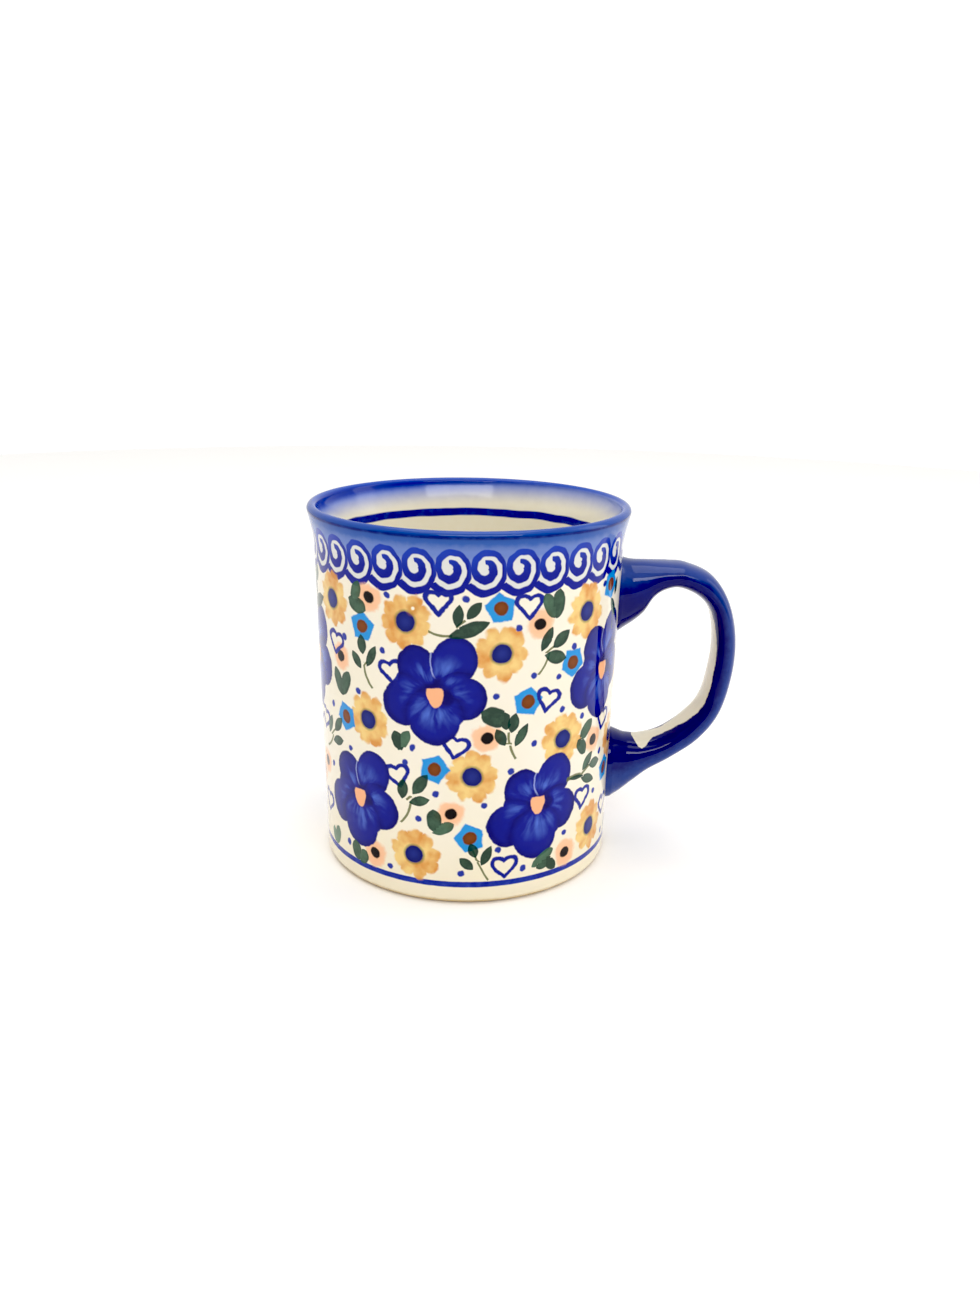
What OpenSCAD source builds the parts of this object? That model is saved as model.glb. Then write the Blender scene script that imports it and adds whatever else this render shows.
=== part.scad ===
// Straight-sided stoneware mug with a flared lip and a pulled loop handle.
// The mug's axis is Z, its foot stands on Z = 0, and the handle points along +X.

/* [Cup] */
// Height from the foot to the lip
cup_h = 95; // [85:1:110]
// Outside diameter of the lip, glaze included
lip_d = 83; // [82:0.5:88]
// Outside diameter of the wall just under the flare, glaze included
wall_top_d = 79.8; // [79:0.2:80.4]
// Outside diameter of the wall just above the foot, glaze included
wall_base_d = 76.4; // [75.6:0.2:77.4]
// Thickness of the wall, glaze included
wall_t = 3.5; // [3:0.1:4.5]
// Thickness of the rounded lip, glaze included
lip_t = 2.6; // [2.2:0.1:3]
// Height of the flare under the lip
flare_h = 9; // [7:0.5:12]
// Height of the drinking floor above the table
floor_h = 6.5; // [6:0.5:9]

/* [Foot] */
// Radius of the rounded corner between the wall and the foot
foot_round = 2.2; // [1.6:0.2:3]
// Width of the flat foot ring that stands on the table
foot_ring_w = 3.4; // [2.6:0.2:4.6]
// Depth of the hollow inside the foot ring
foot_hollow = 1.8; // [1.2:0.2:2.4]

/* [Handle] */
// Width of the handle's strap
strap_w = 12.4; // [11:0.2:14]
// How far the handle's clay stands out from the mug's axis
handle_out = 70.8; // [66:0.2:74]
// How much the joining slip swells the handle where it meets the wall
slip_swell = 1.5; // [1:0.1:2]
// How far the joining slip runs out along the handle
slip_run = 6; // [4:0.5:8]

/* [Glaze] */
// Thickness of the fired glaze
glaze_t = 0.4; // [0.3:0.05:0.5]

/* [Hidden] */

clay_color = "#e8dcc6";
cream_color = "#f6f1e4";
cobalt_color = "#23308f";
slip_color = "#d9ccb4";

arc_steps = 8;
wall_steps = 6;
flare_steps = 9;

lip_r = lip_t / 2;
lip_mid_r = lip_d / 2 - lip_r;
lip_mid_z = cup_h - lip_r;
flare_z = lip_mid_z - flare_h;
inner_corner = 6;
corner_r = foot_round - glaze_t;

// Radius of the glazed outside wall at height z, before the flare
function plain_wall(z) =
    wall_base_d / 2 + (wall_top_d - wall_base_d) / 2 * z / flare_z;

// How far the flare has opened at height z, from 0 to 1
function opened(z) = let (t = max(0, (z - flare_z) / flare_h)) t * t * (3 - t) / 2;

function blend(a, b, t) = a + (b - a) * t;

// Outside and inside radius at height z, lifted off the clay by the given coat
function outside_r(z, coat) =
    blend(plain_wall(z), lip_mid_r + lip_r, opened(z)) - glaze_t + coat;
function inside_r(z, coat) =
    blend(plain_wall(z) - wall_t, lip_mid_r - lip_r, opened(z)) + glaze_t - coat;

function arc(r, z, radius, from, to) =
    [for (i = [0 : arc_steps]) let (a = blend(from, to, i / arc_steps))
        [r + radius * cos(a), z + radius * sin(a)]];

function reversed(list) = [for (i = [len(list) - 1 : -1 : 0]) list[i]];

corner_mid_r = plain_wall(foot_round) - foot_round;

// Profile of the outside, from the foot's corner up to the crest of the lip
function outer_line(coat, from_angle) = concat(
    arc(corner_mid_r, foot_round, corner_r + coat, from_angle, 0),
    [for (i = [1 : wall_steps]) let (z = blend(foot_round, flare_z, i / wall_steps))
        [outside_r(z, coat), z]],
    [for (i = [1 : flare_steps - 1]) let (z = flare_z + flare_h * i / flare_steps)
        [outside_r(z, coat), z]],
    arc(lip_mid_r, lip_mid_z, lip_r - glaze_t + coat, 0, 90));

floor_mid_z = floor_h + inner_corner;
floor_mid_r = plain_wall(floor_mid_z) - wall_t - inner_corner;

// Profile of the inside, from the crest of the lip down to the middle of the floor
function inner_line(coat) = concat(
    arc(lip_mid_r, lip_mid_z, lip_r - glaze_t + coat, 90, 180),
    [for (i = [flare_steps - 1 : -1 : 0]) let (z = flare_z + flare_h * i / flare_steps)
        [inside_r(z, coat), z]],
    [for (i = [wall_steps - 1 : -1 : 1]) let (z = blend(floor_mid_z, flare_z, i / wall_steps))
        [inside_r(z, coat), z]],
    arc(floor_mid_r, floor_mid_z, inner_corner + glaze_t - coat, 0, -90),
    [[0, floor_mid_z - inner_corner - glaze_t + coat]]);

// Profile of the hollow inside the foot ring, from the axis out to the table
foot_inner_r = corner_mid_r - foot_ring_w;
hollow_r = foot_inner_r - foot_hollow;
function hollow_line(coat) = concat(
    [[0, foot_hollow - coat]],
    arc(hollow_r, 0, foot_hollow - coat, 90, 0));

// Where the outside glaze stops on the foot's rounded corner, in degrees
glaze_edge = -52;

module cup_body() {
    color(clay_color)
    rotate_extrude($fn = 180)
    polygon(concat(
        hollow_line(0),
        [[corner_mid_r, 0]],
        arc(corner_mid_r, foot_round, foot_round, -84, glaze_edge),
        outer_line(0, glaze_edge + 6),
        inner_line(0)));
}

module outer_glaze() {
    color(cream_color)
    difference() {
        rotate_extrude($fn = 180)
        polygon(concat(
            outer_line(glaze_t, glaze_edge + 6),
            reversed(outer_line(0, glaze_edge + 6))));
        joint_window(0);
        joint_window(last_ring);
    }
}

module inner_glaze() {
    color(cream_color)
    rotate_extrude($fn = 180)
    polygon(concat(inner_line(glaze_t), reversed(inner_line(0))));
}

module base_glaze() {
    color(cream_color)
    rotate_extrude($fn = 180)
    polygon(concat(
        [[0, foot_hollow - glaze_t]],
        arc(hollow_r, 0, foot_hollow - glaze_t, 90, 20),
        reversed(arc(hollow_r, 0, foot_hollow, 90, 20)),
        [[0, foot_hollow]]));
}

// Stations along the handle's clay, from the upper joint to the lower one:
// outer edge x and z, inner edge x and z, and how much wider the strap is there.
stations = [
    [39.0, 79.6, 39.0, 62.8, 2.6],
    [42.0, 79.7, 43.4, 64.6, 2.2],
    [45.5, 79.7, 46.0, 66.8, 1.6],
    [49.0, 79.6, 48.4, 70.8, 1.0],
    [52.6, 79.5, 51.4, 73.0, 0.5],
    [57.2, 79.0, 55.4, 73.6, 0.2],
    [63.8, 76.0, 60.8, 71.2, 0.0],
    [68.4, 69.4, 64.4, 66.8, 0.0],
    [70.8, 60.0, 65.9, 58.8, 0.0],
    [70.6, 49.6, 65.4, 50.2, 0.0],
    [68.0, 39.0, 63.4, 41.8, 0.0],
    [62.8, 31.4, 59.0, 36.4, 0.0],
    [55.6, 26.0, 53.2, 32.2, 0.2],
    [49.4, 22.2, 47.6, 30.6, 0.8],
    [45.4, 18.8, 43.8, 30.8, 1.6],
    [42.0, 16.4, 41.4, 31.2, 2.2],
    [39.0, 15.4, 39.0, 31.2, 2.6],
];
drawn_h = 95;
drawn_wall = 39;
drawn_out = 70.8;
rings_per_span = 3;
sides = 24;
squareness = 2.3;
spans = len(stations) - 1;
last_ring = spans * rings_per_span;

// The stations fitted to this cup's height and the handle's reach
reach_scale = (handle_out - drawn_wall) / (drawn_out - drawn_wall);
fitted = [for (s = stations) [
    drawn_wall + (s[0] - drawn_wall) * reach_scale, s[1] * cup_h / drawn_h,
    drawn_wall + (s[2] - drawn_wall) * reach_scale, s[3] * cup_h / drawn_h, s[4]]];

function station(i) = fitted[max(0, min(spans, i))];

// Smooth curve through the stations, at ring k
function smooth(k) =
    let (i = min(spans - 1, floor(k / rings_per_span)),
         t = k / rings_per_span - i,
         a = station(i - 1), b = station(i), c = station(i + 1), d = station(i + 2))
    b + 0.5 * t * ((c - a) + t * ((2 * a - 5 * b + 4 * c - d) + t * (3 * (b - c) + d - a)));

ring_shape = [for (k = [0 : last_ring]) smooth(k)];

function rounded(c) = sign(c) * pow(abs(c), 2 / squareness);

// How much the joining slip swells ring k
function swell(k) =
    let (s = ring_shape[k],
         away = ((s[0] + s[2]) / 2 - drawn_wall) / slip_run,
         left = max(0, 1 - away))
    slip_swell * left * left;

function on_wall(y, z) = [sqrt(pow(outside_r(z, 0), 2) - y * y), y, z];

// Point at angle a of ring k, grown off the clay by the given amount;
// the first and last rings lie on the cup's wall.
function ring_point(k, a, grow, share = 1) =
    let (s = ring_shape[k],
         mid = [(s[0] + s[2]) / 2, (s[1] + s[3]) / 2],
         half = [(s[0] - s[2]) / 2, (s[1] - s[3]) / 2],
         reach = half * (1 + grow / norm(half)) * rounded(cos(a)) * share,
         y = (strap_w / 2 + s[4] / 2 + grow) * rounded(sin(a)) * share,
         z = mid[1] + reach[1])
    k == 0 || k == last_ring ? on_wall(y, z) : [mid[0] + reach[0], y, z];

function ring(k, grow, share = 1) =
    [for (j = [0 : sides - 1]) ring_point(k, 360 * j / sides, grow, share)];

function flat(lists) = [for (l = lists) for (p = l) p];

// Faces of a skin over rows of points, each row a closed loop of the same count
function skin(first, rows, count) = flat([
    for (i = [0 : rows - 2], j = [0 : count - 1])
        let (a = first + i * count + j,
             b = first + i * count + (j + 1) % count)
        [[a, b, b + count], [a, b + count, a + count]]]);

// Handle's clay: one loft, with both ends shaped to the wall
module handle() {
    cap = [0.66, 0.33];
    caps = len(cap);
    rows = concat(
        [for (i = [caps - 1 : -1 : 0]) ring(0, 0, cap[i])],
        [for (k = [0 : last_ring]) ring(k, 0)],
        [for (i = [0 : caps - 1]) ring(last_ring, 0, cap[i])]);
    count = len(rows) * sides;
    last = count - sides;
    color(clay_color)
    polyhedron(
        points = concat(flat(rows), [ring_point(0, 0, 0, 0), ring_point(last_ring, 0, 0, 0)]),
        faces = concat(
            skin(0, len(rows), sides),
            [for (j = [0 : sides - 1]) [count, (j + 1) % sides, j]],
            [for (j = [0 : sides - 1]) [count + 1, last + j, last + (j + 1) % sides]]));
}

// A closed tube whose rows run out along one surface and back along another
module tube(rows) {
    n = len(rows);
    polyhedron(points = flat(rows), faces = flat([
        for (i = [0 : n - 1], j = [0 : sides - 1])
            let (a = i * sides + j,
                 b = i * sides + (j + 1) % sides,
                 c = (i + 1) % n * sides + (j + 1) % sides,
                 d = (i + 1) % n * sides + j)
            [[a, b, c], [a, c, d]]]));
}

// Fillets of joining slip round the two ends of the handle
slipped = [for (k = [0 : last_ring]) if (swell(k) > 0.02) k];
half_way = last_ring / 2;
upper_rings = [for (k = slipped) if (k < half_way) k];
lower_rings = [for (k = slipped) if (k > half_way) k];

module slip_joint(covered, bare) {
    color(slip_color)
    tube(concat(
        [for (k = covered) ring(k, swell(k))],
        [for (k = bare) ring(k, 0)]));
}

module upper_slip_joint() {
    slip_joint(upper_rings, concat([max(upper_rings) + 1], reversed(upper_rings)));
}

module lower_slip_joint() {
    slip_joint(lower_rings, concat(reversed(lower_rings), [min(lower_rings) - 1]));
}

// Coat of glaze over the handle and both slip joints
module handle_glaze() {
    color(cobalt_color)
    tube(concat(
        [for (k = [0 : last_ring]) ring(k, swell(k) + glaze_t)],
        [for (k = [last_ring : -1 : 0]) ring(k, swell(k))]));
}

// Window in the cup's glaze where the handle's coat meets the wall
module joint_window(end) {
    outline = [for (p = ring(end, swell(end) + glaze_t)) [p[1], p[2]]];
    translate([plain_wall(0) / 2, 0, 0])
    rotate([90, 0, 90])
    linear_extrude(height = plain_wall(0))
    polygon(outline);
}

cup_body();
handle();
upper_slip_joint();
lower_slip_joint();
outer_glaze();
inner_glaze();
handle_glaze();
base_glaze();
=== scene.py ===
"""Stoneware mug with a flared lip, a pulled loop handle and hand-painted pansies.

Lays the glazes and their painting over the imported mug, gives the clay its finish, and sets up a
plain white studio. Lengths are metres unless a name ends in _MM, and angles round the wall are
degrees: 0 faces the camera, and the handle stands at 90.
"""

import math

import bpy
import numpy as np
from mathutils import Matrix, Vector


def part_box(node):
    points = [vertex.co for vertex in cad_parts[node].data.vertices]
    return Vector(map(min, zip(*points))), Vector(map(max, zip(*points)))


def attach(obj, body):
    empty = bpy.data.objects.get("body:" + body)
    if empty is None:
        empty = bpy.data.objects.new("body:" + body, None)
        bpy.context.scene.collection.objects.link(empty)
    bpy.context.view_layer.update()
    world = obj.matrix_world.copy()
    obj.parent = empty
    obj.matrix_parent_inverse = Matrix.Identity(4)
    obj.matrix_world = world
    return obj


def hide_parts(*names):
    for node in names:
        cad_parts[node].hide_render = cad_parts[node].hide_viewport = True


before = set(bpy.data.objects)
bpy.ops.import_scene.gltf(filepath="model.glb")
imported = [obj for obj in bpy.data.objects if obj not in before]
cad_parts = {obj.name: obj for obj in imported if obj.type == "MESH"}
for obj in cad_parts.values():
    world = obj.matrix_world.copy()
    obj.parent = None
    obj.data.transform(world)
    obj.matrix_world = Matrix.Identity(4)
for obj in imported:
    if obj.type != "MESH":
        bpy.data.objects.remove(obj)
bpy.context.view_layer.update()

bl_info = {
    "name": "Pansy mug",
    "version": (1, 0, 0),
    "blender": (4, 5, 0),
    "location": "View3D > Sidebar > Mug",
    "description": "Glazes, paints and lights a straight stoneware mug",
    "category": "Object",
}

MM = 0.001
FLOOR_RADIUS = 0.9

# ---------------------------------------------------------------- sizes taken from the frame

_, coat_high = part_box("outer_glaze")
floor_low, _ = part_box("inner_glaze")


def tint(red, green, blue):
    """Scene-linear colour of a display colour given from 0 to 255."""
    def linear(value):
        share = value / 255
        return share / 12.92 if share < 0.04045 else ((share + 0.055) / 1.055) ** 2.4
    return (linear(red), linear(green), linear(blue))


def length(name, description, default):
    return bpy.props.FloatProperty(
        name=name, description=description, default=default, min=0, precision=5,
        unit="LENGTH", subtype="DISTANCE")


def colour(name, description, default):
    return bpy.props.FloatVectorProperty(
        name=name, description=description, default=default, min=0, max=1, size=3,
        subtype="COLOR")


class MugSizes(bpy.types.PropertyGroup):
    """Sizes of the cup, the handle and their glaze."""
    cup_height: length("Cup height", "Height from the foot to the lip", coat_high.z)
    lip_radius: length("Lip radius", "Outside radius of the lip", coat_high.y)
    lip_thickness: length("Lip thickness", "Thickness of the rounded lip", 2.6 * MM)
    wall_top_radius: length("Wall radius, top", "Outside radius under the flare", 39.9 * MM)
    wall_base_radius: length("Wall radius, base", "Outside radius above the foot", 38.2 * MM)
    wall_thickness: length("Wall thickness", "Thickness of the glazed wall", 3.5 * MM)
    flare_height: length("Flare height", "Height of the flare under the lip", 9 * MM)
    floor_height: length("Floor height", "Height of the drinking floor", floor_low.z + 0.4 * MM)
    foot_round: length("Foot corner", "Radius of the corner above the foot", 2.2 * MM)
    foot_ring: length("Foot ring", "Width of the flat foot ring", 3.4 * MM)
    foot_hollow: length("Foot hollow", "Depth of the hollow in the foot ring", 1.8 * MM)
    strap_width: length("Strap width", "Width of the handle's strap", 12.4 * MM)
    slip_swell: length("Slip swell", "How much joining slip swells the handle", 1.5 * MM)
    slip_run: length("Slip run", "How far the slip runs along the handle", 6 * MM)
    glaze: length("Glaze", "Thickness of the fired glaze", 0.4 * MM)


class MugColours(bpy.types.PropertyGroup):
    """Colours of the clay, the glazes and the painting."""
    cream: colour("Cream", "Cream glaze", tint(249, 241, 225))
    clay: colour("Clay", "Bare stoneware of the foot", tint(202, 172, 116))
    slip: colour("Slip", "Joining slip under the handle's glaze", tint(206, 190, 165))
    cobalt: colour("Cobalt", "Handle's dipped glaze", tint(28, 28, 104))
    line: colour("Line", "Brushed cobalt lines, hearts and dots", tint(32, 42, 148))
    wash: colour("Wash", "Cobalt wash sponged round the lip", tint(96, 126, 198))
    pansy: colour("Pansy", "Body of the pansy's petals", tint(30, 36, 146))
    pansy_rim: colour("Pansy rim", "Pooled edge of the pansy's petals", tint(22, 16, 92))
    pansy_light: colour("Pansy light", "Thin brush strokes on the petals", tint(96, 130, 222))
    shield: colour("Pansy eye", "Apricot eye of the pansy", tint(252, 184, 138))
    ochre: colour("Ochre", "Daisy petals where the colour is thin", tint(246, 209, 128))
    amber: colour("Amber", "Daisy petals where the colour pools", tint(222, 146, 58))
    turquoise: colour("Turquoise", "Five-sided flowers", tint(0, 142, 220))
    aqua: colour("Aqua", "Thin turquoise", tint(56, 188, 232))
    brown: colour("Brown", "Eyes of the turquoise flowers", tint(118, 62, 28))
    peach: colour("Peach", "Round flowers", tint(254, 196, 152))
    black: colour("Black", "Eyes of the peach flowers", tint(30, 26, 28))
    leaf_dark: colour("Leaf, dark", "Leaves where the green pools", tint(2, 54, 43))
    leaf_light: colour("Leaf, light", "Leaves where the green is thin", tint(98, 144, 112))
    stem: colour("Stem", "Thin olive stems", tint(98, 106, 52))


# ---------------------------------------------------------------- painting: where each motif sits
# Every place is (degrees round the wall, millimetres above the table).

MM_PER_DEGREE = 39.8 * math.pi / 180
BACK_TURNS = ((144, -46, 26), (216, -46, 26), (288, -46, -2))

# Middle of the flower's body, then how far its eye sits above that, in millimetres
PANSIES = ((-11, 56.8, -1.3), (59, 58, -1), (-77, 57.5, -0.4), (-43.5, 24.9, 0.2), (27.2, 25.2, 1.1))
DAISIES = (
    (-56.5, 74.5), (-21.5, 73), (-38, 46.5), (-19.5, 13), (11.5, 66), (46, 73.5), (37, 42),
    (2, 35), (56, 14), (74, 36))
ROUNDS = (
    (-36, 77.5), (-52, 60.5), (-36.5, 10.5), (-5.5, 25), (25, 72.5), (7, 45), (55, 38.5),
    (41, 10), (-70, 28.5))
STARS = (
    (-39.5, 70), (-50, 45), (-11.5, 36.5), (11, 77), (40, 61.5), (21.5, 53.5), (1.5, 18.5),
    (62, 78), (68, 27.5))
# Place, then how far the heart leans to the left
HEARTS = (
    (-10, 78, 0), (-55, 63.5, -8), (-27, 60, 14), (-25.5, 33.5, 12), (-4, 42.5, -10),
    (-69, 40.5, -12), (-69.5, 17, -10), (21, 77, 0), (29.5, 53, -14), (49.5, 23.5, -6),
    (14.5, 10, 0), (62.5, 42.5, -16), (69.5, 16.5, 0))
DOTS = (
    (-28.5, 78.9), (-1, 79.2), (-49, 66), (-30.5, 65), (-42.5, 53), (-59.5, 46.5), (-19.5, 41.5),
    (-48, 37), (-22.5, 37.5), (-11, 30), (-62, 29.5), (-17.5, 23), (-51.5, 10), (-29.5, 8),
    (-2, 9), (17.5, 72), (40, 65.5), (23.5, 60), (33.5, 58.5), (10, 55.5), (36, 50),
    (46.5, 46.5), (24.5, 42.5), (16, 36), (6.5, 27.5), (61.5, 34), (58, 23.5), (12, 15),
    (40, 16), (22, 9), (56.5, 79), (63.5, 46.5), (70.5, 8.5))
# Root, tip, width in millimetres, shade from 0 dark to 1 pale
LEAVES = (
    (-39.6, 62.9, -40.3, 67.9, 2.7, 0.2), (-40.5, 59.2, -45, 63.2, 2.3, 0.2),
    (-37.8, 60.1, -33.5, 65.8, 2.2, 0.2),
    (-19.8, 29.2, -13.9, 35.1, 2.9, 0.2), (-23.9, 27.6, -23.4, 33, 2.7, 0.15),
    (-21.1, 27, -13, 28.4, 2.4, 0.25),
    (-65.2, 37.6, -61.2, 43.2, 2.3, 0.45), (-59.4, 39.3, -53.1, 43.8, 2.6, 0.35),
    (-61.2, 36.2, -52.6, 38, 2.4, 0.3),
    (-6.3, 70.1, 7.4, 73.7, 3.2, 0.1), (-3.8, 72.4, -2.9, 77.9, 2.4, 0.05),
    (-0.6, 74.4, 4.5, 78.6, 2.4, 0.05),
    (15.6, 45.8, 17.3, 51, 2.7, 0.15), (13.5, 42.7, 10.3, 47.2, 2.5, 0.15),
    (17.1, 42.2, 21.8, 48, 2.3, 0.2),
    (26.1, 65.8, 30.2, 71.4, 2.4, 0.15), (30.6, 66.2, 37.6, 70, 3, 0.15),
    (27.3, 64.6, 36.7, 63, 3.1, 0.2),
    (48.8, 31.3, 55.1, 35.2, 2.6, 0.35), (53.1, 31.9, 61.7, 31.3, 2.7, 0.35),
    (48.2, 29.6, 57.2, 26.9, 2.4, 0.3), (41, 30.4, 50, 29.7, 1.1, 0.2),
    (3.7, 13, 1.6, 17.2, 2.4, 0.15), (3, 9.9, -2.3, 13, 2.4, 0.15),
    (5.7, 10.8, 9.3, 16.2, 2.3, 0.15),
    (62.6, 74.5, 68.9, 69, 2.2, 0.25), (67, 74.6, 69, 79, 2, 0.1))
# Broad blunt leaves, most of them in pairs
BROAD_LEAVES = (
    (-43.4, 75.4, -40.8, 81, 2.9, 0.55), (-46, 76.2, -37.6, 74, 3.6, 0.35),
    (-51.8, 50.4, -56.8, 57.2, 3.3, 0.3), (-52.6, 50.4, -47.4, 57.2, 3.3, 0.3),
    (-23.7, 40.4, -26.6, 45.4, 3, 0.1), (-25.2, 40.4, -20.8, 45.9, 2.7, 0.6),
    (-11.4, 19.8, -11.9, 26, 3.5, 0.3), (-12.4, 19.6, -4.2, 22.3, 2.7, 0.6),
    (-45.8, 6.2, -47.4, 11.8, 3.4, 0.35), (-44.4, 6, -41, 10, 3.2, 0.5),
    (-63.6, 6.6, -65.4, 11, 2.6, 0.85), (-62.8, 6.4, -59.6, 12.4, 3, 0.8),
    (31.4, 73.4, 26.6, 79.8, 3, 0.45), (31.4, 73.4, 32.6, 80.8, 3.4, 0.3),
    (4.8, 51.6, 14.8, 48.8, 4.4, 0.15), (13.2, 51.4, 13.8, 46.8, 2.4, 0.1),
    (46.2, 40.2, 53.4, 44.4, 3.2, 0.45), (45, 40.4, 50, 36, 3, 0.3),
    (25.6, 8.8, 35, 12.6, 2.7, 0.6), (27.6, 8.2, 34.4, 9.6, 2.3, 0.3),
    (30.6, 10.8, 36.4, 6.6, 2.6, 0.1), (-75, 76.4, -71, 80.6, 3, 0.5))
# Two ends, how far the middle bows to the left of the line between them, and width
STEMS = (
    (-39.2, 61, -35.4, 55, -0.7, 0.5), (-39.2, 60, -37.4, 61.4, 0.1, 0.4),
    (-20.2, 28.8, -24.6, 21.2, 0.8, 0.5), (-22.2, 27.6, -20.2, 28.8, 0, 0.5),
    (-61, 37.6, -67.5, 33.4, 0.5, 0.5), (-62.8, 37.6, -59.2, 39.6, 0, 0.4),
    (-13.4, 71.2, -5, 70.4, -0.5, 0.45), (-4, 72.4, -1, 74.2, 0.1, 0.45),
    (14.6, 46.4, 17.7, 39, -0.5, 0.5), (13.6, 43.4, 17.1, 42.8, 0.3, 0.4),
    (29.4, 66, 25, 60, 0.7, 0.45), (27.6, 65, 31, 66.6, 0, 0.45),
    (40, 30.4, 49, 30, 0.2, 0.9), (47.4, 29.8, 53.4, 31.8, 0.1, 0.6),
    (2.6, 15.4, 8.5, 6.8, -0.5, 0.4), (3.4, 13, 6, 11.4, 0, 0.4),
    (66, 66, 66, 73, 0.3, 0.4))

# Motifs that fill the gap round the handle's joints, which the repeat leaves open
SIDE_DAISIES = ((83, 53),)
SIDE_ROUNDS = ((94.5, 58),)
SIDE_STARS = ((90.5, 42.5),)
SIDE_DOTS = ((79, 44), (99, 51), (86, 9.5), (77, 22))
SIDE_HEARTS = ((79.5, 62, 6), (93.5, 9, 4))
SIDE_BROAD_LEAVES = ((79, 6.6, 77, 11.4, 2.8, 0.3), (79.6, 6.6, 83, 11, 2.8, 0.6))


# Lowest and highest motif, how far a repeated one drifts, and how fast that changes round the wall
LOWEST_MM = 8
HIGHEST_MM = 79
MOST_ROOM = 1260
DRIFT_MM = 1.1
DRIFT_RATE = 2.3


def settled(angle, height):
    """Lets a repeated motif drift up or down a little, less towards the two borders."""
    room = max(0, (height - LOWEST_MM) * (HIGHEST_MM - height)) / MOST_ROOM
    return height + DRIFT_MM * room * math.sin(math.radians(DRIFT_RATE * angle))


def all_round(front, sides=()):
    """Repeats the front's motifs round the back of the wall. A leaf or stem moves both its ends."""
    motifs = list(front) + list(sides)
    two_ended = len(motifs[0]) > 4
    for turn, low, high in BACK_TURNS:
        for motif in front:
            if not low <= motif[0] < high:
                continue
            moved = [motif[0] + turn, settled(motif[0] + turn, motif[1])]
            if two_ended:
                moved += [motif[2] + turn, settled(motif[2] + turn, motif[3])]
            motifs.append(tuple(moved) + tuple(motif[len(moved):]))
    return motifs


def pansy_places():
    """The last stretch round the back leaves out its upper pansy, which the front has already."""
    return [(a, z, 0, 1, 1, eye) for a, z, eye in all_round(PANSIES) if not 270 < a < 280]


# ---------------------------------------------------------------- nodes

class Value:
    """A number on its way through a tree, so that maths on it reads as an expression."""

    def __init__(self, net, socket):
        self.net = net
        self.socket = socket

    def __add__(self, other):
        return self.net.maths("ADD", self, other)

    __radd__ = __add__

    def __sub__(self, other):
        return self.net.maths("SUBTRACT", self, other)

    def __rsub__(self, other):
        return self.net.maths("SUBTRACT", other, self)

    def __mul__(self, other):
        return self.net.maths("MULTIPLY", self, other)

    __rmul__ = __mul__

    def __truediv__(self, other):
        return self.net.maths("DIVIDE", self, other)

    def __rtruediv__(self, other):
        return self.net.maths("DIVIDE", other, self)

    def __mod__(self, other):
        return self.net.maths("FLOORED_MODULO", self, other)

    def __pow__(self, other):
        return self.net.maths("POWER", self, other)

    def __neg__(self):
        return self.net.maths("MULTIPLY", self, -1)

    def __abs__(self):
        return self.net.maths("ABSOLUTE", self)


class Net:
    """Adds nodes to one tree."""

    def __init__(self, tree):
        self.tree = tree

    def node(self, kind, settings=None, inputs=None):
        """A node of one kind: its settings first, then the values or links of its sockets."""
        made = self.tree.nodes.new(kind)
        for name, value in (settings or {}).items():
            if name == "stops":
                self.set_stops(made.color_ramp, value)
            else:
                setattr(made, name, value)
        for name, value in (inputs or {}).items():
            self.feed(made.inputs[name], value)
        return made

    def feed(self, socket, value):
        if isinstance(value, Value):
            value = value.socket
        if isinstance(value, bpy.types.NodeSocket):
            self.tree.links.new(value, socket)
        elif socket.type == "RGBA":
            socket.default_value = (*value[:3], 1)
        else:
            socket.default_value = value

    def set_stops(self, ramp, stops):
        while len(ramp.elements) < len(stops):
            ramp.elements.new(1)
        for element, (place, shade) in zip(ramp.elements, stops):
            element.position = place
            element.color = (*shade[:3], 1)

    def maths(self, operation, *values):
        made = self.node("ShaderNodeMath", {"operation": operation}, dict(enumerate(values)))
        return Value(self, made.outputs[0])

    def least(self, first, second):
        return self.maths("MINIMUM", first, second)

    def most(self, first, second):
        return self.maths("MAXIMUM", first, second)

    def split(self, vector):
        made = self.node("ShaderNodeSeparateXYZ", inputs={"Vector": vector})
        return [Value(self, socket) for socket in made.outputs]

    def under(self, value, edge, soft):
        """1 where the value is below an edge, 0 above it, with a soft step between."""
        low, high = (edge - soft, edge + soft)
        made = self.node(
            "ShaderNodeMapRange", {"interpolation_type": "SMOOTHSTEP"},
            {"Value": value, "From Min": low, "From Max": high, "To Min": 1.0, "To Max": 0.0})
        return Value(self, made.outputs["Result"])

    def over(self, value, edge, soft):
        return 1 - self.under(value, edge, soft)


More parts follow.
